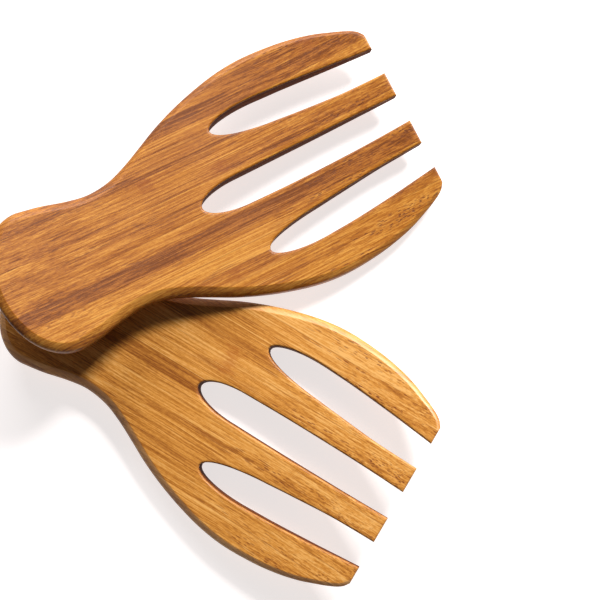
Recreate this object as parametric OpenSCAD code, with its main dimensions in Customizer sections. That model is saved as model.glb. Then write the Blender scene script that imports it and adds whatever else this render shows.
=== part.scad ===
// A pair of bamboo salad hands, one laid across the heel of the other.
// Each hand is glued up from upright bamboo strips that run from heel to tips.
// The origin is under the palm of the lower hand, on the flat of its middle strip.
// +X runs along the lower hand to its tips, +Z is up, and lengths are in millimetres.

/* [Plan] */
// Distance from the origin to the tips
tip_reach = 104; // [102:0.5:106]
// Distance from the origin to the end of the heel
heel_reach = 84; // [82:0.5:90]
// Half the width of the palm at its widest
palm_half = 51.8; // [51:0.1:53]
// Half the width of the neck at its narrowest
neck_half = 26; // [25:0.1:27.5]
// Half the width of the heel at its widest
heel_half = 31; // [29.5:0.1:33]
// Length of the rounded end of the heel
heel_round = 22; // [18:1:26]

/* [Gaps between the tines] */
// Length of the middle gap, from the tips to its root
middle_gap_len = 95.8; // [92:0.1:98]
// Length of the rounded root of the middle gap
middle_gap_round = 20; // [16:1:24]
// Length of each side gap, from the tips to its root
side_gap_len = 78; // [76:0.5:80]
// Length of the rounded root of each side gap
side_gap_round = 28; // [24:1:30]

/* [Side profile] */
// Thickness of the wood at the middle of the palm
palm_thick = 10.5; // [9:0.1:10.5]
// Where the underside starts to curve up towards the tips
flat_front = 28; // [24:1:32]
// Where the underside starts to curve up towards the heel
flat_back = 8; // [2:1:12]
// Radius of the underside below the tines
under_tines_r = 200; // [190:1:230]
// Radius of the underside below the heel
under_heel_r = 350; // [330:5:400]
// Where the level stretch of the palm's face starts
level_back = 9; // [6:1:12]
// Where the level stretch of the palm's face ends
level_front = 19; // [16:1:22]
// Radius of the face along the tines
face_tines_r = 365; // [350:1:385]
// Radius of the face along the heel
face_heel_r = 500; // [450:5:560]

/* [Strips] */
// Width of one bamboo strip
strip_w = 6.3; // [6.25:0.01:6.35]

/* [Pair] */
// Angle between the two hands, seen from above
fan_angle = 59; // [59:0.1:64]
// How far behind the origin the two centre lines cross
cross_back = 67; // [67:0.5:70]
// How far the upper hand dips at its tips, in degrees
upper_pitch = 11.2; // [11.2:0.1:12]
// How far the upper hand leans towards the lower one, in degrees
upper_roll = 4; // [4:0.1:4.5]

/* [Hidden] */

hand_len = tip_reach + heel_reach;
strips = 17;
middle_strip = 9;
// The strip that the neck cuts in two, counted from the middle one.
cut_strip = 5;
// Distance from the tips to the narrowest part of the neck.
neck_at = 136;
// Height of the point that the upper hand is tilted about, with its tines just clear of
// the surface that the pair lies on.
upright = cos(upper_pitch) * cos(upper_roll);
upper_z = sin(upper_pitch) * (flat_front + cross_back)
    + cos(upper_pitch) * sin(upper_roll) * palm_half
    + under_tines_r * (norm([sin(upper_pitch), upright]) - upright);
plan_step = 2;
arc_fn = 720;
blank_h = 40;
blank_w = 120;

// Half widths of the palm, as [distance from the tips, half width].
palm_line = [
    [0, 36.3], [2, 39], [6, 41.5], [11, 43.8], [19, 47], [28, 49.4], [38, 51], [52, palm_half],
    [64, 50.7], [76, 48], [88, 44.2], [99, 39.7], [108, 35.2], [117, 30.8], [126, 27.4],
    [neck_at, neck_half], [145, 27.1], [156, 29.6], [hand_len - heel_round, heel_half],
];
// Half widths of the middle gap, and centres and half widths of a side gap.
middle_gap_line = [[-2, 6], [20, 6.7], [45, 7], [60, 7], [middle_gap_len - middle_gap_round, 6.8]];
side_gap_centre = [[-2, 22.8], [20, 24.5], [40, 26.3], [61, 27.8], [side_gap_len, 28.5]];
side_gap_line = [[-2, 5.7], [8, 6.2], [20, 6.7], [40, 6.8], [side_gap_len - side_gap_round, 6.6]];

function slope(line, i) =
    let (a = max(i - 1, 0), b = min(i + 1, len(line) - 1))
    (line[b][1] - line[a][1]) / (line[b][0] - line[a][0]);

// The value at x of the smooth curve through the points of a line.
function along(line, x) =
    let (
        i = max([for (k = [0 : len(line) - 2]) line[k][0] <= x ? k : 0]),
        step = line[i + 1][0] - line[i][0],
        t = (x - line[i][0]) / step
    )
    line[i][1] * (1 + 2 * t) * pow(1 - t, 2) + line[i + 1][1] * t * t * (3 - 2 * t)
    + step * (slope(line, i) * t * pow(1 - t, 2) - slope(line, i + 1) * t * t * (1 - t));

// Angles that walk round the quarter of an ellipse at a rounded end.
end_angles = [for (a = [0 : 7.5 : 90]) a];

// A closed shape on both sides of a centre line that ends in a quarter ellipse, as points
// [distance from the tips, offset from the centre line].
function rounded_band(line, centre, first, last, round_len) =
    let (
        start = last - round_len,
        steps = ceil((start - first) / plan_step),
        flat_xs = [for (k = [0 : steps - 1]) first + (start - first) * k / steps],
        end_half = along(line, start),
        side = [
            for (x = flat_xs) [x, along(line, x)],
            for (a = end_angles) [start + round_len * sin(a), end_half * cos(a)],
        ],
        count = len(side)
    )
    [
        for (p = side) [p[0], along(centre, p[0]) + p[1]],
        for (k = [count - 2 : -1 : 0]) [side[k][0], along(centre, side[k][0]) - side[k][1]],
    ];

centre_line = [[-2, 0], [hand_len, 0]];
function to_hand(points, side = 1) = [for (p = points) [tip_reach - p[0], side * p[1]]];

module plan() {
    difference() {
        polygon(to_hand(rounded_band(palm_line, centre_line, 0, hand_len, heel_round)));
        polygon(to_hand(rounded_band(middle_gap_line, centre_line, -2, middle_gap_len,
                                     middle_gap_round)));
        for (side = [-1, 1])
            polygon(to_hand(rounded_band(side_gap_line, side_gap_centre, -2, side_gap_len,
                                         side_gap_round), side));
    }
}

// Everything to one side of x, inside a circle that touches the level z at x.
module curved_side(x, z, r, side) {
    intersection() {
        translate([x, z + r])
            circle(r = r, $fn = arc_fn);
        translate([side > 0 ? x : x - blank_w, 0])
            square([blank_w, blank_h]);
    }
}

// Everything above a curve that is level from back to front and curls up at both ends.
module above(back, front, z, back_r, front_r) {
    translate([back, z])
        square([front - back, blank_h - z]);
    curved_side(front, z, front_r, 1);
    curved_side(back, z, back_r, -1);
}

// The side view of a hand: underside, then face.
module side_view() {
    difference() {
        above(-flat_back, flat_front, 0, under_heel_r, under_tines_r);
        above(level_back, level_front, palm_thick, face_heel_r, face_tines_r);
    }
}

// One piece of the hand: the part of it between two sides, from back to front.
module piece(right, left, back, front) {
    intersection() {
        translate([0, blank_w / 2, 0])
            rotate([90, 0, 0])
                linear_extrude(blank_w)
                    side_view();
        linear_extrude(blank_h)
            intersection() {
                plan();
                translate([back, right])
                    square([front - back, left - right]);
            }
    }
}

function strip_right(number) = (number - middle_strip - 0.5) * strip_w;

// A strip from the heel to the tips. The strips that the neck cuts in two stop at the neck.
module strip(number) {
    cut = abs(number - middle_strip) == cut_strip;
    right = number == 1 ? -blank_w / 2 : strip_right(number);
    left = number == strips ? blank_w / 2 : strip_right(number + 1);
    piece(right, left, cut ? tip_reach - neck_at : -heel_reach - 1, tip_reach);
}

// The short piece of a cut strip that is left in the widening of the heel.
module heel_strip(side) {
    number = middle_strip + side * cut_strip;
    piece(strip_right(number), strip_right(number + 1), -heel_reach - 1, tip_reach - neck_at);
}

// Puts the upper hand where it lies, turned about the point where the centre lines cross.
module as_upper() {
    translate([-cross_back, 0, upper_z])
        rotate([0, 0, fan_angle])
            rotate([0, upper_pitch, 0])
                rotate([upper_roll, 0, 0])
                    translate([cross_back, 0, 0])
                        children();
}

// Bamboo tones, so that each strip differs from its neighbours.
function tone(number, base) = base * (0.9 + 0.1 * sin(number * 137));
module lower_wood(number) {
    color([tone(number, 0.8), tone(number, 0.55), tone(number, 0.27)])
        children();
}
module upper_wood(number) {
    color([tone(number, 0.72), tone(number, 0.45), tone(number, 0.22)])
        children();
}

module lower_strip(number) {
    lower_wood(number)
        strip(number);
}
module upper_strip(number) {
    upper_wood(number)
        as_upper()
            strip(number);
}
module lower_heel_strip(side) {
    lower_wood(middle_strip + side * cut_strip)
        heel_strip(side);
}
module upper_heel_strip(side) {
    upper_wood(middle_strip + side * cut_strip)
        as_upper()
            heel_strip(side);
}

lower_strip(1);  // lower_strip_01
lower_strip(2);  // lower_strip_02
lower_strip(3);  // lower_strip_03
lower_strip(4);  // lower_strip_04
lower_strip(5);  // lower_strip_05
lower_strip(6);  // lower_strip_06
lower_strip(7);  // lower_strip_07
lower_strip(8);  // lower_strip_08
lower_strip(9);  // lower_strip_09
lower_strip(10);  // lower_strip_10
lower_strip(11);  // lower_strip_11
lower_strip(12);  // lower_strip_12
lower_strip(13);  // lower_strip_13
lower_strip(14);  // lower_strip_14
lower_strip(15);  // lower_strip_15
lower_strip(16);  // lower_strip_16
lower_strip(17);  // lower_strip_17
lower_heel_strip(-1);  // lower_heel_strip_right
lower_heel_strip(1);  // lower_heel_strip_left
upper_strip(1);  // upper_strip_01
upper_strip(2);  // upper_strip_02
upper_strip(3);  // upper_strip_03
upper_strip(4);  // upper_strip_04
upper_strip(5);  // upper_strip_05
upper_strip(6);  // upper_strip_06
upper_strip(7);  // upper_strip_07
upper_strip(8);  // upper_strip_08
upper_strip(9);  // upper_strip_09
upper_strip(10);  // upper_strip_10
upper_strip(11);  // upper_strip_11
upper_strip(12);  // upper_strip_12
upper_strip(13);  // upper_strip_13
upper_strip(14);  // upper_strip_14
upper_strip(15);  // upper_strip_15
upper_strip(16);  // upper_strip_16
upper_strip(17);  // upper_strip_17
upper_heel_strip(-1);  // upper_heel_strip_right
upper_heel_strip(1);  // upper_heel_strip_left
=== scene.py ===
"""Two bamboo salad hands, seen from above on a pale surface.

Lengths in the shape functions are in millimetres in a hand's own frame: x runs from the
heel to the tips, y to the left and z up, with the origin under the palm.
"""
import math
import random

import bpy
import numpy as np
from mathutils import Matrix, Quaternion, Vector
from mathutils.geometry import delaunay_2d_cdt


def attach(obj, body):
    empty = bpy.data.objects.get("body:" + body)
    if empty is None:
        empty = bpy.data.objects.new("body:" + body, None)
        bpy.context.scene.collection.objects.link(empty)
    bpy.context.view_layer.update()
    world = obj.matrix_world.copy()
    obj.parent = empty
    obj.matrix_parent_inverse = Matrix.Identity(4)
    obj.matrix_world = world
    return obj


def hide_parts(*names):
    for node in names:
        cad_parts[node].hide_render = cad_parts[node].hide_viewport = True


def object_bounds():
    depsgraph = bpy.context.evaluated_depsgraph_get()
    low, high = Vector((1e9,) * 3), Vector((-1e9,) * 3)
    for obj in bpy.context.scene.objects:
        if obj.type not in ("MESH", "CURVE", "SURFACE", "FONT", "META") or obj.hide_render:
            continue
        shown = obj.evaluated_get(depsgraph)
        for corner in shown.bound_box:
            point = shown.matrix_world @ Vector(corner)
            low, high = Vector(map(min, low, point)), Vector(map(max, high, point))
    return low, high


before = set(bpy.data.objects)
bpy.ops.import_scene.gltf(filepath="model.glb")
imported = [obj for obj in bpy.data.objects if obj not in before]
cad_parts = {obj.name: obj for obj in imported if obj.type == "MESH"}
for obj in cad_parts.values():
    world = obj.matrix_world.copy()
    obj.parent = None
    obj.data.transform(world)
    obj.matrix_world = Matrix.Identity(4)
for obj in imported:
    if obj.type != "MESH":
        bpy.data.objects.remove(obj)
CAD_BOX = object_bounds()

MM = 0.001

# ---------------------------------------------------------------- the shape of a hand
# Distances from the origin to the two ends, and the sizes of the plan.
TIP = 104.0
HEEL = 84.0
HAND_LEN = TIP + HEEL
HEEL_ROUND = 22.0
MIDDLE_GAP_LEN, MIDDLE_GAP_ROUND = 95.8, 20.0
SIDE_GAP_LEN, SIDE_GAP_ROUND = 78.0, 28.0
NECK_AT = 136.0
STRIP_W = 6.3
STRIPS, MIDDLE_STRIP, CUT_STRIP = 17, 9, 5
PALM_HALF = 51.8
PALM_THICK = 10.5
FLAT_FRONT, FLAT_BACK = 28.0, 8.0
UNDER_TINES_R, UNDER_HEEL_R = 200.0, 350.0
LEVEL_BACK, LEVEL_FRONT = 9.0, 19.0
FACE_TINES_R, FACE_HEEL_R = 365.0, 500.0

# Spacing of the points along outlines, and of the rows of points inside the plan.
OUTLINE_STEP = 1.3
ROW_STEP = 2.0
ROW_OFFSETS = (-2.1, 0, 2.1)
TIP_ROW_HALF = 44

# Half widths, as (distance from the tips, half width), the same as in the design.
PALM_LINE = [
    (0, 36.3), (2, 39), (6, 41.5), (11, 43.8), (19, 47), (28, 49.4), (38, 51), (52, PALM_HALF),
    (64, 50.7), (76, 48), (88, 44.2), (99, 39.7), (108, 35.2), (117, 30.8), (126, 27.4),
    (136, 26), (145, 27.1), (156, 29.6), (HAND_LEN - HEEL_ROUND, 31),
]
MIDDLE_GAP_LINE = [(-2, 6), (20, 6.7), (45, 7), (60, 7), (MIDDLE_GAP_LEN - MIDDLE_GAP_ROUND, 6.8)]
SIDE_GAP_CENTRE = [(-2, 22.8), (20, 24.5), (40, 26.3), (61, 27.8), (SIDE_GAP_LEN, 28.5)]
SIDE_GAP_LINE = [(-2, 5.7), (8, 6.2), (20, 6.7), (40, 6.8), (SIDE_GAP_LEN - SIDE_GAP_ROUND, 6.6)]
CENTRE_LINE = [(-2, 0), (HAND_LEN, 0)]

# Easing of the edges. Along the outside its width grows from the tips to the neck, as
# (distance from the tips, width), and its section is between a chamfer and a quarter
# circle, so that it starts with a soft ridge.
OUTER_ROUND = [(0, 1.4), (15, 2.0), (50, 2.7), (120, 3.6), (HAND_LEN, 3.6)]
OUTER_DEPTH = 0.9
CHAMFER = 0.55
GAP_ROUND = 0.9
TIP_ROUND = 0.8
OUTER_RINGS, GAP_RINGS, TIP_RINGS = 6, 4, 3
# Extra rings just inside and outside the soft ridge keep it crisp.
RIDGE_RINGS = [0.93, 1.07]
SHARP_ANGLE = math.radians(40)
# A little inside the CAD solid, so that the wood never stands proud of it.
INSET = 0.02
# Triangles smaller than this are dropped. Distances are found for so many points at a time.
SMALLEST_AREA = 1e-7
CHUNK = 2000
# From here on a wall is the tip of a tine, or part of the outside of the hand.
WALL_AT_TIP = TIP - 0.1
WALL_AT_RIM = 0.999


def slope(line, i):
    """The slope of a line of points at its point i."""
    a, b = max(i - 1, 0), min(i + 1, len(line) - 1)
    return (line[b][1] - line[a][1]) / (line[b][0] - line[a][0])


def along(line, x):
    """The value at x of the smooth curve through the points of a line."""
    i = max([k for k in range(len(line) - 1) if line[k][0] <= x] or [0])
    step = line[i + 1][0] - line[i][0]
    t = (x - line[i][0]) / step
    return (
        line[i][1] * (1 + 2 * t) * (1 - t) ** 2
        + line[i + 1][1] * t * t * (3 - 2 * t)
        + step * (slope(line, i) * t * (1 - t) ** 2 - slope(line, i + 1) * t * t * (1 - t))
    )


def rounded_side(line, first, last, round_len, step=1.5, end_steps=24):
    """One side of a band that ends in a quarter ellipse: (distance from tips, half width)."""
    start = last - round_len
    count = math.ceil((start - first) / step)
    end_half = along(line, start)
    xs = [first + (start - first) * k / count for k in range(count)]
    side = [(x, along(line, x)) for x in xs]
    for k in range(end_steps + 1):
        a = math.pi / 2 * k / end_steps
        side.append((start + round_len * math.sin(a), end_half * math.cos(a)))
    return side


def band(line, centre, first, last, round_len, side=1):
    """A band's outline in the hand's frame, as an array of (x, y)."""
    edge = rounded_side(line, first, last, round_len)
    there = [(x, along(centre, x) + h) for x, h in edge]
    back = [(x, along(centre, x) - h) for x, h in reversed(edge[:-1])]
    return np.array([(TIP - x, side * y) for x, y in there + back])


def spread(points, gap):
    """The same open line with its points at even distances."""
    steps = np.hypot(*np.diff(points, axis=0).T)
    walked = np.concatenate([[0], np.cumsum(steps)])
    count = max(2, round(walked[-1] / gap))
    at = np.linspace(0, walked[-1], count + 1)
    return np.stack([np.interp(at, walked, points[:, k]) for k in (0, 1)], axis=1)


def to_the_left(points):
    """Unit vectors that point to the left of an open line, one for each of its points."""
    ahead = np.gradient(points, axis=0)
    ahead /= np.hypot(*ahead.T)[:, None]
    return np.stack([-ahead[:, 1], ahead[:, 0]], axis=1)


OUTER = spread(band(PALM_LINE, CENTRE_LINE, 0, HAND_LEN, HEEL_ROUND), OUTLINE_STEP)
OUTER[:, 1] = np.clip(OUTER[:, 1], -PALM_HALF, PALM_HALF)
SIDE_GAP = (SIDE_GAP_LINE, SIDE_GAP_CENTRE, -2, SIDE_GAP_LEN, SIDE_GAP_ROUND)
GAPS = [
    spread(outline, OUTLINE_STEP)
    for outline in (
        band(MIDDLE_GAP_LINE, CENTRE_LINE, -2, MIDDLE_GAP_LEN, MIDDLE_GAP_ROUND),
        band(*SIDE_GAP),
        band(*SIDE_GAP, side=-1),
    )
]


def curl(d, r):
    """How far an arc of radius r has risen at a distance d from where it starts."""
    d = np.maximum(d, 0)
    return r - np.sqrt(r * r - d * d)


def underside(x):
    return curl(x - FLAT_FRONT, UNDER_TINES_R) + curl(-x - FLAT_BACK, UNDER_HEEL_R)


def face(x):
    return PALM_THICK + curl(x - LEVEL_FRONT, FACE_TINES_R) + curl(LEVEL_BACK - x, FACE_HEEL_R)


def segment_distance(points, line):
    """Distance from each point to the nearest place on a line."""
    a, b = line[:-1], line[1:]
    ab = b - a
    best = np.full(len(points), np.inf)
    for start in range(0, len(points), CHUNK):
        p = points[start:start + CHUNK, None, :]
        t = np.clip(((p - a) * ab).sum(-1) / (ab * ab).sum(-1), 0, 1)
        near = a + t[..., None] * ab
        best[start:start + CHUNK] = np.sqrt(((p - near) ** 2).sum(-1)).min(1)
    return best


def crossings_inside(points, line):
    """True for each point inside the closed outline."""
    x, y = points[:, 0:1], points[:, 1:2]
    a, b = line, np.roll(line, -1, axis=0)
    up = (a[:, 1] > y) != (b[:, 1] > y)
    with np.errstate(divide="ignore", invalid="ignore"):
        at = a[:, 0] + (y - a[:, 1]) * (b[:, 0] - a[:, 0]) / (b[:, 1] - a[:, 1])
    return ((up & (x < at)).sum(1) % 2) == 1


def ring_depths(radius, steps):
    """Distances from an edge, closer together near it, for the rings of a rounded edge."""
    return [radius * (1 - math.cos(math.pi / 2 * k / steps)) for k in range(1, steps + 1)]


def outer_widths(xs):
    """The width of the eased edge along the outside, at each x."""
    return np.array([along(OUTER_ROUND, np.clip(TIP - x, 0, HAND_LEN)) for x in xs])


def plan_triangles():
    """Triangles that fill the plan of a hand, with rows of points along every rounded edge."""
    points, edges = [], []

    def add(line, closed=False):
        first = len(points)
        points.extend(map(tuple, line))
        edges.extend((first + k, first + k + 1) for k in range(len(line) - 1))
        if closed:
            edges.append((first + len(line) - 1, first))

    add(OUTER, closed=True)
    radii = outer_widths(OUTER[:, 0])
    for fraction in ring_depths(1.0, OUTER_RINGS) + RIDGE_RINGS:
        add(OUTER + to_the_left(OUTER) * (radii * fraction)[:, None])
    # The right gap's outline is a mirror image, so it runs the other way round.
    for gap, away in zip(GAPS, (-1, -1, 1)):
        add(gap)
        for depth in ring_depths(GAP_ROUND, GAP_RINGS):
            add(gap + away * depth * to_the_left(gap))
    tip_row = np.arange(-TIP_ROW_HALF, TIP_ROW_HALF + 1, ROW_STEP)
    for depth in ring_depths(TIP_ROUND, TIP_RINGS):
        add(np.array([(TIP - depth, y) for y in tip_row]))
    middle = (STRIPS - 1) / 2
    glue_line = np.arange(-HEEL, TIP + 1, ROW_STEP)
    for k in range(STRIPS - 1):
        y = (k + 0.5 - middle) * STRIP_W
        add(np.stack([glue_line, np.full(len(glue_line), y)], axis=1))
    for k in range(STRIPS):
        for off in ROW_OFFSETS:
            for x in np.arange(-HEEL + 1, TIP, ROW_STEP):
                points.append((x, (k - middle) * STRIP_W + off))
    done = delaunay_2d_cdt([Vector(p) for p in points], edges, [], 0, 1e-5)
    verts = np.array([tuple(v) for v in done[0]])
    return verts, np.array(done[2])


def build_plan():
    """The plan of a hand: its points, its triangles and the strip each triangle is in."""
    verts, tris = plan_triangles()
    centre = verts[tris].mean(axis=1)
    inside = crossings_inside(centre, OUTER)
    for gap in GAPS:
        inside &= ~crossings_inside(centre, gap)
    area = np.abs(np.cross(verts[tris[:, 1]] - verts[tris[:, 0]],
                           verts[tris[:, 2]] - verts[tris[:, 0]]))
    tris = tris[inside & (area > SMALLEST_AREA)]
    centre = verts[tris].mean(axis=1)
    strip = np.clip(np.floor(centre[:, 1] / STRIP_W + MIDDLE_STRIP + 0.5), 1, STRIPS).astype(int)
    behind_neck = centre[:, 0] < TIP - NECK_AT
    cut = np.abs(strip - MIDDLE_STRIP) == CUT_STRIP
    # Heel strips are numbered after the others: right, then left.
    strip[cut & behind_neck & (strip < MIDDLE_STRIP)] = STRIPS + 1
    strip[cut & behind_neck & (strip > MIDDLE_STRIP) & (strip <= STRIPS)] = STRIPS + 2
    return verts, tris, strip


PLAN = build_plan()


def rounding(verts):
    """At each point of the plan: how far the face drops, and how near the point is to a
    gap or a tip (arris) and to the outside (rim), as 0 to 1."""
    radii = outer_widths(verts[:, 0])
    outside = segment_distance(verts, OUTER)
    gaps = np.min([segment_distance(verts, g) for g in GAPS], axis=0)
    tip = TIP - verts[:, 0]
    wear = [
        np.clip(1 - outside / radii, 0, 1),
        np.clip(1 - gaps / GAP_ROUND, 0, 1),
        np.clip(1 - tip / TIP_ROUND, 0, 1),
    ]
    reach = [radii * OUTER_DEPTH, GAP_ROUND, TIP_ROUND]
    drops = [r * (1 - np.sqrt(1 - w * w)) for w, r in zip(wear, reach)]
    drops[0] = CHAMFER * reach[0] * wear[0] + (1 - CHAMFER) * drops[0]
    return np.max(drops, axis=0), np.max(wear[1:], axis=0), wear[0]


ROUNDING = rounding(PLAN[0])


def strip_names(hand):
    """The CAD nodes of a hand by number. Heel strips come after the others."""
    names = {n: f"{hand}_strip_{n:02d}" for n in range(1, STRIPS + 1)}
    names[STRIPS + 1] = f"{hand}_heel_strip_right"
    names[STRIPS + 2] = f"{hand}_heel_strip_left"
    return names


def strip_mesh(name, number, to_row, look):
    """One strip: its face, its underside and the walls between them, as a closed mesh."""
    verts, tris, strip = PLAN
    mine = tris[strip == number]
    used, local = np.unique(mine, return_inverse=True)
    mine = local.reshape(mine.shape)
    flat = verts[used]
    drop, arris, rim = (part[used] for part in ROUNDING)
    low = underside(flat[:, 0]) + drop + INSET
    high = face(flat[:, 0]) - drop - INSET
    count = len(used)
    coords = np.concatenate([np.column_stack([flat, high]), np.column_stack([flat, low])])

    a, b, c = flat[mine[:, 0]], flat[mine[:, 1]], flat[mine[:, 2]]
    flip = np.cross(b - a, c - a) < 0
    mine[flip] = mine[flip][:, ::-1]
    edges = {}
    for tri in mine.tolist():
        for k in range(3):
            edges[(tri[k], tri[(k + 1) % 3])] = True
    rim_edges = [e for e in edges if (e[1], e[0]) not in edges]
    faces = mine.tolist()
    faces += [[v + count for v in reversed(t)] for t in mine.tolist()]
    walls = [[p, p + count, q + count, q] for p, q in rim_edges]
    faces += walls

    mesh = bpy.data.meshes.new(name)
    row = (np.column_stack([coords, np.ones(len(coords))]) @ np.array(to_row).T)[:, :3]
    mesh.from_pydata((row * MM).tolist(), [], faces)
    mesh.update()
    # The walls of the gaps, and the hidden ones between strips, have the second material.
    for polygon, wall in zip(mesh.polygons[-len(walls):], walls):
        at_tip = all(coords[v, 0] > WALL_AT_TIP for v in wall)
        outside = all(rim[v % count] > WALL_AT_RIM for v in wall)
        polygon.material_index = 0 if at_tip or outside else 1
    mesh.shade_smooth()
    mesh.set_sharp_from_angle(angle=SHARP_ANGLE)

    grain = coords + look["shift"]
    across = (coords[:, 1] / STRIP_W + MIDDLE_STRIP + 0.5) - look["column"]
    if look["turned"]:
        across = 1 - across
    store_vectors(mesh, "grain", grain)
    store_vectors(mesh, "place", coords)
    store_vectors(mesh, "strip", np.column_stack([
        np.full(2 * count, look["tone"]),
        np.clip(across, 0, 1),
        coords[:, 0] - look["node_at"],
    ]))
    store_vectors(mesh, "edge", np.column_stack([
        np.tile(arris, 2), np.tile(rim, 2), np.zeros(2 * count),
    ]))
    return mesh


def store_vectors(mesh, name, values):
    """Keeps one vector for each point of the mesh, for the material to read."""
    layer = mesh.attributes.new(name, "FLOAT_VECTOR", "POINT")
    layer.data.foreach_set("vector", np.ascontiguousarray(values, dtype=np.float32).ravel())


# ---------------------------------------------------------------- bamboo
class Nodes:
    """A short way to write a node material."""

    def __init__(self, name):
        self.material = bpy.data.materials.new(name)
        self.material.use_nodes = True
        self.tree = self.material.node_tree
        self.tree.nodes.clear()

    def add(self, kind, inputs=None, **settings):
        node = self.tree.nodes.new(kind)
        for key, value in settings.items():
            setattr(node, key, value)
        for key, value in (inputs or {}).items():
            self.set(node.inputs[key], value)
        return node

    def set(self, socket, value):
        if isinstance(value, bpy.types.NodeSocket):
            self.tree.links.new(value, socket)
        else:
            socket.default_value = value

    def attribute(self, name):
        return self.add("ShaderNodeAttribute", attribute_name=name).outputs["Vector"]

    def split(self, vector):
        return self.add("ShaderNodeSeparateXYZ", {"Vector": vector}).outputs

    def scale(self, vector, factors):
        return self.vector("MULTIPLY", vector, factors)

    def vector(self, operation, a, b):
        node = self.add("ShaderNodeVectorMath", {0: a, 1: b}, operation=operation)
        return node.outputs["Vector"]

    def math(self, operation, a, b=0.0):
        return self.add("ShaderNodeMath", {0: a, 1: b}, operation=operation).outputs[0]

    def times(self, a, b):
        return self.math("MULTIPLY", a, b)

    def centred(self, field, gain):
        """A field that runs from 0 to 1, moved to run evenly about 0."""
        return self.times(self.math("SUBTRACT", field, 0.5), gain)

    def noise(self, vector, factors, detail=2.0, rough=0.5, output="Fac"):
        return self.add(
            "ShaderNodeTexNoise",
            {"Vector": self.scale(vector, factors), "Scale": 1.0, "Detail": detail,
             "Roughness": rough},
        ).outputs[output]

    def cell_distance(self, vector, factors):
        return self.add(
            "ShaderNodeTexVoronoi", {"Vector": self.scale(vector, factors), "Scale": 1.0}
        ).outputs["Distance"]

    def ramp(self, value, low, high, to_low=0.0, to_high=1.0):
        """A smooth step between two values."""
        return self.add(
            "ShaderNodeMapRange",
            {"Value": value, "From Min": low, "From Max": high, "To Min": to_low,
             "To Max": to_high},
            interpolation_type="SMOOTHSTEP",
        ).outputs[0]

    def tones(self, value, stops):
        """A colour that runs evenly through the stops as the value goes from 0 to 1."""
        node = self.add("ShaderNodeValToRGB", {"Fac": value})
        elements = node.color_ramp.elements
        for k, colour in enumerate(stops):
            at = k / (len(stops) - 1)
            element = elements[k] if k < 2 else elements.new(at)
            element.position = at
            element.color = (*colour, 1)
        return node.outputs["Color"]

    def mix(self, factor, a, b):
        node = self.add("ShaderNodeMix", data_type="RGBA")
        self.set(node.inputs[0], factor)
        self.set(node.inputs[6], a)
        self.set(node.inputs[7], b)
        return node.outputs[2]


def tinted(colour, factors):
    """A colour with each of its parts multiplied by a factor, ready for a socket."""
    return (*(part * factor for part, factor in zip(colour, factors)), 1)


def fibre_dashes(n, grain, fibre, across, along_hand):
    """Dark fibre bundles. They run along x, so the surface cuts them into long streaks where
    it is level and into short dashes where it slopes, at the tines."""
    dash = n.ramp(n.cell_distance(fibre, (0.02, 1.3, 2.4)), 0.24, 0.4, 1.0, 0.0)
    one_sided = n.ramp(across, 0.1, 0.95, 0.25, 1.0)
    patches = n.ramp(n.noise(grain, (0.025, 0.22, 0.22), detail=1.0), 0.36, 0.6, 0.35, 1.0)
    dash = n.times(n.times(dash, one_sided), patches)
    return n.times(dash, n.ramp(along_hand, 10.0, 70.0, 0.5, 1.0))


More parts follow.
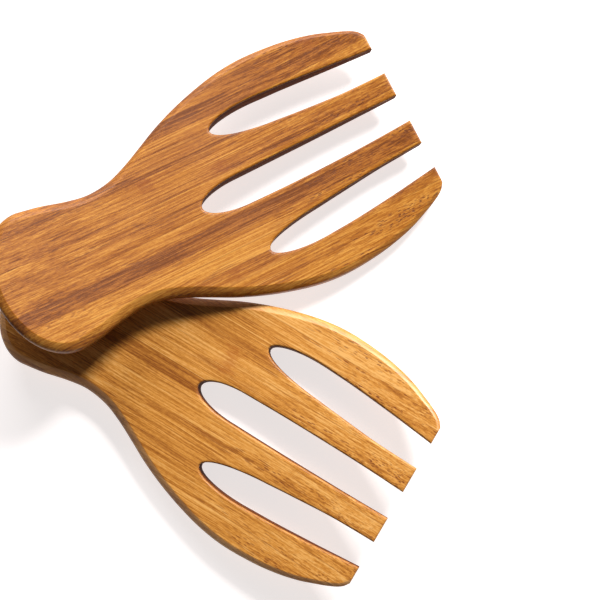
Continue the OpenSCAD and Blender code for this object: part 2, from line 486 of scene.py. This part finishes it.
def bamboo(name, stops, fleck, rough, gloss, rim_highlight_strength):
    """Oiled bamboo: stops run from the darkest to the palest wood, fleck is a fibre's colour
    and rubbed is how strongly a pale painted highlight is laid along the outer edge."""
    n = Nodes(name)
    grain = n.attribute("grain")
    tone, across, from_node = n.split(n.attribute("strip"))
    arris, rim, _ = n.split(n.attribute("edge"))
    along_hand = n.split(n.attribute("place"))[0]

    wander = n.noise(grain, (0.03, 0.16, 0.16), output="Color")
    wander = n.scale(n.vector("SUBTRACT", wander, (0.5, 0.5, 0.5)), (0.0, 1.4, 1.4))
    fibre = n.vector("ADD", grain, wander)

    dash = fibre_dashes(n, grain, fibre, across, along_hand)
    streaks = n.ramp(n.noise(fibre, (0.014, 1.15, 0.5), detail=4.0, rough=0.65), 0.3, 0.7)
    hairs = n.ramp(n.noise(fibre, (0.03, 2.6, 1.2)), 0.34, 0.66)
    specks = n.ramp(n.noise(grain, (0.55, 2.1, 1.4)), 0.32, 0.68)
    clouds = n.ramp(n.noise(grain, (0.02, 0.11, 0.11)), 0.3, 0.7)

    # The knuckle of the cane: a darker, blotchy band across one strip.
    blotch = n.noise(grain, (0.3, 0.8, 0.8), detail=3.0, rough=0.6)
    ragged = n.math("ADD", from_node, n.centred(blotch, 16.0))
    knuckle = n.ramp(n.math("ABSOLUTE", ragged), 0.5, 5.0, 1.0, 0.0)

    # Strip edges: a thin glue line, stronger in places.
    to_side = n.math("MINIMUM", across, n.math("SUBTRACT", 1.0, across))
    glue = n.ramp(to_side, 0.008, 0.045, 1.0, 0.0)
    glue = n.times(glue, n.ramp(clouds, 0.1, 0.8, 0.15, 0.8))

    shade = tone
    for field, gain in ((streaks, 0.48), (clouds, 0.16), (hairs, 0.34), (specks, 0.2)):
        shade = n.math("ADD", shade, n.centred(field, gain))
    shade = n.math("SUBTRACT", shade, n.centred(across, 0.2))

    # A pale painted highlight runs along the ridge where the outer edge's easing starts. The very
    # edges are dark.
    rim_highlight_mask = n.times(n.ramp(rim, 0.0, 0.12), n.ramp(rim, 0.4, 0.8, 1.0, 0.0))
    stain = tinted(stops[0], (1.4, 0.95, 0.6))
    colour = n.tones(shade, stops)
    for field, strength, tint in (
        (dash, 0.95, fleck),
        (knuckle, 0.34, stain),
        (glue, 0.55, fleck),
        # the painted highlight along the outer edge
        (rim_highlight_mask, rim_highlight_strength, RIM_HIGHLIGHT_COLOUR),
        (n.ramp(rim, 0.75, 1.0), 0.3, fleck),
        (n.ramp(arris, 0.4, 0.95), 0.25, fleck),
    ):
        colour = n.mix(n.times(field, strength), colour, tint)

    relief = n.math("ADD", n.times(streaks, 0.6), n.times(dash, -0.8))
    bump = n.add("ShaderNodeBump", {"Height": relief, "Strength": 0.3, "Distance": 0.00012})
    polish = n.math("ADD", n.times(streaks, 0.12), rough)
    polish = n.math("ADD", polish, n.times(dash, 0.12))
    worn = n.math("MAXIMUM", rim, n.times(arris, 0.35))
    polish = n.math("SUBTRACT", polish, n.ramp(worn, 0.0, 0.5, 0.0, 0.05))
    shader = n.add("ShaderNodeBsdfPrincipled", {
        "Base Color": colour,
        "Roughness": polish,
        "IOR": 1.45,
        "Specular IOR Level": gloss,
        "Normal": bump.outputs[0],
    })
    n.add("ShaderNodeOutputMaterial", {"Surface": shader.outputs[0]})
    return n.material


# ---------------------------------------------------------------- where each hand lies
# The lower hand lies in the row's own frame. The upper one crosses it behind the palm,
# pitched down to its tips and rolled a little.
CROSS_BACK = 67.0
FAN = math.radians(59.0)
PITCH = math.radians(11.2)
ROLL = math.radians(4.0)
UPRIGHT = math.cos(PITCH) * math.cos(ROLL)
UPPER_Z = (
    math.sin(PITCH) * (FLAT_FRONT + CROSS_BACK)
    + math.cos(PITCH) * math.sin(ROLL) * PALM_HALF
    + UNDER_TINES_R * (math.hypot(math.sin(PITCH), UPRIGHT) - UPRIGHT)
)
LOWER_TO_ROW = Matrix.Identity(4)
UPPER_TO_ROW = (
    Matrix.Translation((-CROSS_BACK, 0, UPPER_Z))
    @ Matrix.Rotation(FAN, 4, "Z")
    @ Matrix.Rotation(PITCH, 4, "Y")
    @ Matrix.Rotation(ROLL, 4, "X")
    @ Matrix.Translation((CROSS_BACK, 0, 0))
)


def make_hand(hand, body, to_row, materials, tones, knuckles, seed):
    """Builds the strips of one hand, each standing for its own CAD node."""
    draw = random.Random(seed)
    for number, name in strip_names(hand).items():
        column = number
        if number > STRIPS:
            column = MIDDLE_STRIP + (CUT_STRIP if number == STRIPS + 2 else -CUT_STRIP)
        look = {
            "shift": np.array([draw.uniform(-200, 200), 40.0 * number, draw.uniform(-50, 50)]),
            "column": column,
            "turned": draw.random() < 0.5,
            "tone": tones[column - 1],
            "node_at": knuckles.get(number, draw.uniform(-600, 120)),
        }
        piece = bpy.data.objects.new(f"{name}_wood", strip_mesh(name, number, to_row, look))
        bpy.context.scene.collection.objects.link(piece)
        for material in materials:
            piece.data.materials.append(material)
        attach(piece, body)
        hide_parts(name)


# How pale each strip is, from the right of the palm to its left.
# In the lower hand, strip 9 is darker partly as painted shade where the upper hand shades it, and
# strips 16 and 17 are paler partly as a painted highlight along the lit outer edge.
LOWER_TONES = [
    0.8, 0.56, 0.63, 0.44, 0.5, 0.52, 0.7, 0.52, 0.26, 0.62, 0.6, 0.65, 0.42, 0.6, 0.65, 0.8,
    0.8,
]
UPPER_TONES = [
    0.7, 0.7, 0.65, 0.44, 0.72, 0.66, 0.2, 0.5, 0.5, 0.55, 0.43, 0.52, 0.34, 0.5, 0.24, 0.3,
    0.55,
]
# Where the cane's knuckles fall on some of the strips, as x.
LOWER_KNUCKLES = {11: 14.5, 12: 14.5}
UPPER_KNUCKLES = {4: 8.0, 11: 23.0}

# Colours of the wood from the darkest to the palest, of the hands' faces and of sawn walls.
LOWER_STOPS = [
    (0.21, 0.059, 0.008), (0.37, 0.134, 0.018), (0.55, 0.235, 0.041), (0.67, 0.35, 0.1),
]
UPPER_STOPS = [
    (0.13, 0.033, 0.003), (0.26, 0.077, 0.006), (0.38, 0.138, 0.013), (0.52, 0.23, 0.034),
]
# The walls are far darker than the faces: partly the wood's own colour, partly painted shade of
# the narrow gaps.
WALL_STOPS_WITH_SHADE = [
    (0.06, 0.011, 0.001), (0.1, 0.022, 0.002), (0.15, 0.038, 0.003), (0.2, 0.056, 0.005),
]
# The colour of the painted highlight along the outer edge.
RIM_HIGHLIGHT_COLOUR = (0.8, 0.46, 0.26, 1)
FACE_ROUGH, WALL_ROUGH, WALL_GLOSS = 0.36, 0.6, 0.04


def woods(hand, stops, gloss, rim_highlight_strength):
    """The wood of the faces, and of the sawn walls, which are darker: partly oil soaked up,
    partly painted shade of the gaps.
    """
    fleck = tinted(stops[0], (0.75, 0.6, 0.5))
    wall_fleck = (*WALL_STOPS_WITH_SHADE[0], 1)
    return [
        bamboo(f"{hand}_bamboo_wood", stops, fleck, FACE_ROUGH, gloss, rim_highlight_strength),
        bamboo(f"{hand}_bamboo_wall", WALL_STOPS_WITH_SHADE, wall_fleck, WALL_ROUGH, WALL_GLOSS, 0.0),
    ]


# The last argument to woods sets how strong each hand's painted highlight along the outer edge
# is.
make_hand(
    "lower", "lower_hand", LOWER_TO_ROW, woods("lower", LOWER_STOPS, gloss=0.4, rim_highlight_strength=0.3),
    LOWER_TONES, LOWER_KNUCKLES, seed=11,
)
make_hand(
    "upper", "upper_hand", UPPER_TO_ROW, woods("upper", UPPER_STOPS, gloss=0.34, rim_highlight_strength=0.04),
    UPPER_TONES, UPPER_KNUCKLES, seed=23,
)


# ---------------------------------------------------------------- floor, light and camera
FLOOR_HALF = 6.0


def make_floor():
    """Pale paper. Its glow keeps the open shadows as faint as on a lit table."""
    h = FLOOR_HALF
    mesh = bpy.data.meshes.new("floor")
    mesh.from_pydata([(-h, -h, 0), (h, -h, 0), (h, h, 0), (-h, h, 0)], [], [(0, 1, 2, 3)])
    floor = bpy.data.objects.new("floor", mesh)
    bpy.context.scene.collection.objects.link(floor)
    n = Nodes("floor_paper")
    shader = n.add("ShaderNodeBsdfPrincipled", {
        "Base Color": (0.5, 0.47, 0.47, 1), "Roughness": 0.9, "Specular IOR Level": 0.1,
        "Emission Color": (1.0, 0.96, 0.95, 1), "Emission Strength": 0.74,
    })
    n.add("ShaderNodeOutputMaterial", {"Surface": shader.outputs[0]})
    mesh.materials.append(n.material)


def area_light(name, towards, distance, size, power, tint=(1, 1, 1)):
    """A square soft light that shines on the middle of the object from a direction."""
    data = bpy.data.lights.new(name, "AREA")
    data.shape = "SQUARE"
    data.size = size
    data.energy = power
    data.color = tint
    lamp = bpy.data.objects.new(name, data)
    direction = Vector(towards).normalized()
    lamp.location = AIM + direction * distance
    lamp.rotation_euler = (-direction).to_track_quat("-Z", "Y").to_euler()
    bpy.context.scene.collection.objects.link(lamp)


# The up direction of the picture lies 33 degrees round from the lower hand's own +Y.
LOWER_TURN = math.radians(-33.0)


def from_picture(right, up, height):
    """A direction given as right, up and towards the viewer, in the row's frame."""
    flat = Matrix.Rotation(-LOWER_TURN, 3, "Z") @ Vector((right, up, 0))
    return Vector((flat.x, flat.y, height))


CENTRE = (CAD_BOX[0] + CAD_BOX[1]) / 2
AIM = Vector((CENTRE.x, CENTRE.y, 0.01))

make_floor()
area_light(
    "key", from_picture(0.6, 0.8, 0.8), distance=1.1, size=0.25, power=22.0,
    tint=(1.0, 0.985, 0.96),
)
area_light("fill", from_picture(-0.15, 1.0, 0.55), distance=1.5, size=0.7, power=15.0)

world = bpy.data.worlds.new("studio")
world.use_nodes = True
world.node_tree.nodes["Background"].inputs[0].default_value = (1.0, 0.98, 0.98, 1)
world.node_tree.nodes["Background"].inputs[1].default_value = 0.1
bpy.context.scene.world = world
bpy.context.scene.view_settings.view_transform = "Standard"

# The camera hangs above the pair and looks nearly straight down, a little towards the heels.
CAMERA_AT = Vector((76.3, 22.2, 466.2)) * MM
CAMERA_TURN = Vector((0.0941, 0.0876, 0.5350))
CAMERA_LENS = 65.0
SENSOR = 36.0


def make_camera():
    data = bpy.data.cameras.new("camera")
    data.sensor_width = SENSOR
    data.lens = CAMERA_LENS
    camera = bpy.data.objects.new("camera", data)
    camera.location = CAMERA_AT
    camera.rotation_mode = "QUATERNION"
    camera.rotation_quaternion = Quaternion(CAMERA_TURN.normalized(), CAMERA_TURN.length)
    bpy.context.scene.collection.objects.link(camera)
    bpy.context.scene.camera = camera


make_camera()
